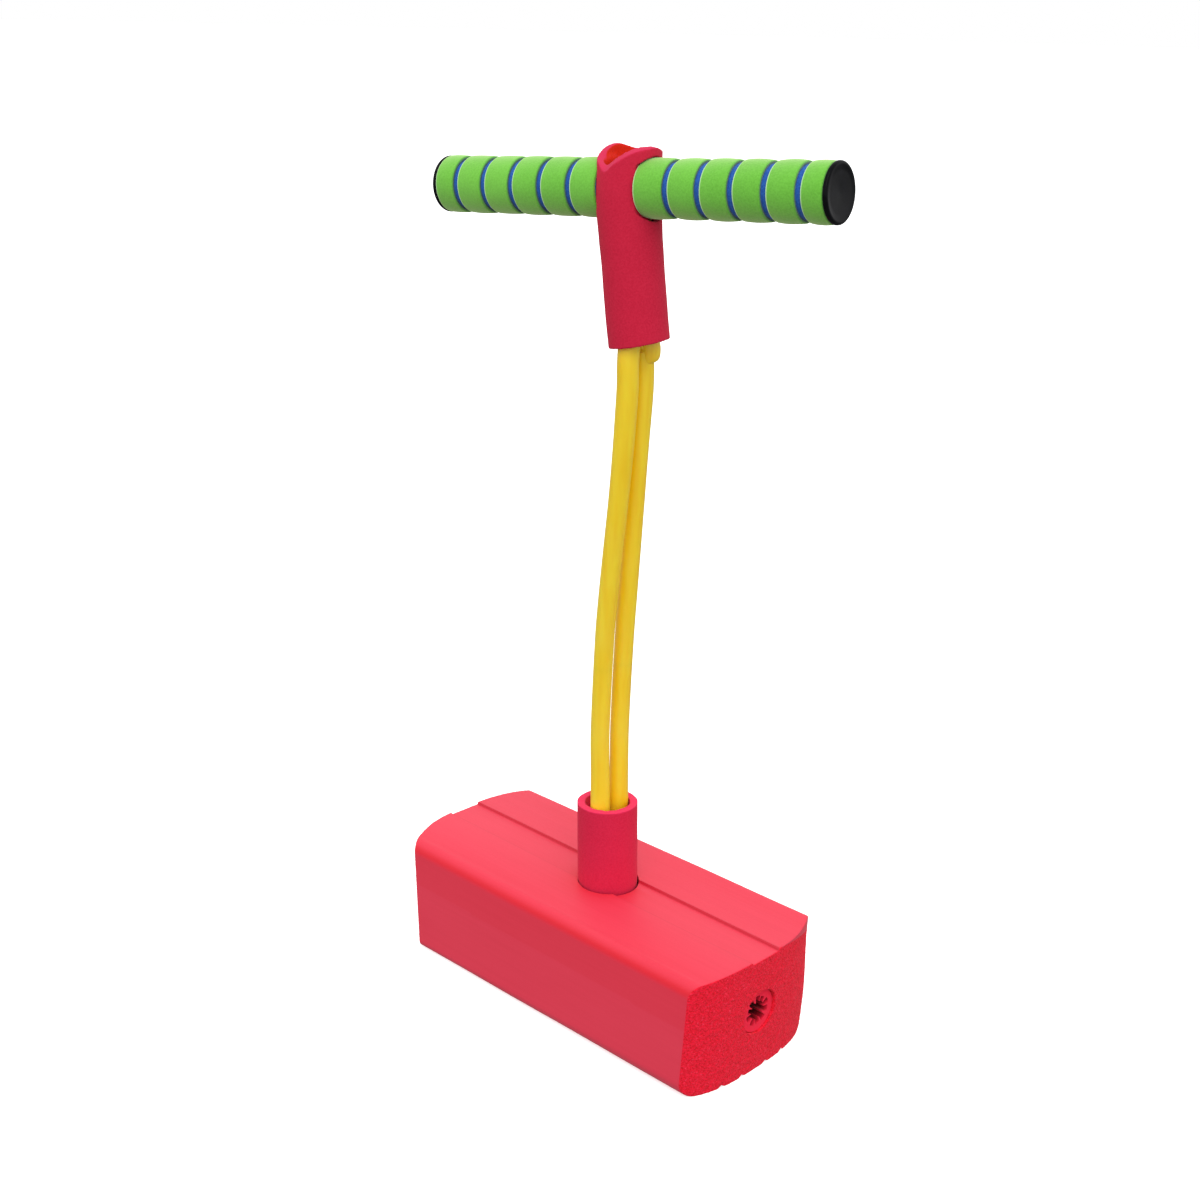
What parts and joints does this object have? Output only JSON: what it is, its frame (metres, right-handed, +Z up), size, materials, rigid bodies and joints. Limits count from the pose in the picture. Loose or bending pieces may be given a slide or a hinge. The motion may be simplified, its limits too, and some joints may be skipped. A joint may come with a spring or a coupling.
{
  "type": "pogo stick",
  "caption": "Soft foam pogo stick for small children: foam jumping block, stretchy rubber tube loop, foam collar and sleeve, and a T bar with ringed foam grips.",
  "frame": {"origin": "on the sole, under the middle of the foam block", "axes": "+X along the block, towards the end nearer the raised end of the bar; +Y across the block; +Z up along the strands"},
  "size_m": [0.2931, 0.116, 0.5628],
  "materials": {
    "red_foam": "matte",
    "anchor_foam": "matte",
    "yellow_rubber": "satin",
    "core_plastic": "satin",
    "blue_foam": "matte",
    "green_foam": "matte",
    "black_plastic": "gloss"
  },
  "bodies": {
    "block": {"base_block": "red_foam", "anchor_tube": "anchor_foam"},
    "collar": {"lower_collar": "red_foam"},
    "strands": {"bungee_loop": "yellow_rubber"},
    "sleeve": {"upper_sleeve": "red_foam", "loop_joiner": "yellow_rubber"},
    "handle": {"handle_core": "core_plastic", "grip_layer_left": "blue_foam", "grip_band_left_1": "green_foam", "grip_band_left_2": "green_foam", "grip_band_left_3": "green_foam", "grip_band_left_4": "green_foam", "grip_band_left_5": "green_foam", "grip_band_left_6": "green_foam", "end_cap_left": "black_plastic", "grip_layer_right": "blue_foam", "grip_band_right_1": "green_foam", "grip_band_right_2": "green_foam", "grip_band_right_3": "green_foam", "grip_band_right_4": "green_foam", "grip_band_right_5": "green_foam", "grip_band_right_6": "green_foam", "end_cap_right": "black_plastic"}
  },
  "joints": [
    {"name": "collar_slide", "type": "slide", "parent": "block", "child": "collar", "axis": [0, 0, 1], "range_m": [0, 0.02]},
    {"name": "strand_lean", "type": "hinge", "parent": "block", "child": "strands", "pos_m": [0.0041, 0, 0.165], "axis": [1, 0, 0], "range_deg": [-25, 25], "stiffness_Nm_per_rad": 2, "deforming": ["bungee_loop"]},
    {"name": "strand_stretch", "type": "slide", "parent": "strands", "child": "sleeve", "axis": [0.0306, -0.0256, 0.9992], "range_m": [0, 0.12], "stiffness_N_per_m": 120, "deforming": ["bungee_loop"]},
    {"name": "handle_spin", "type": "hinge", "parent": "sleeve", "child": "handle", "pos_m": [0.0162, -0.0102, 0.5373], "axis": [0.9869, 0.151, 0.0576], "continuous": true}
  ]
}
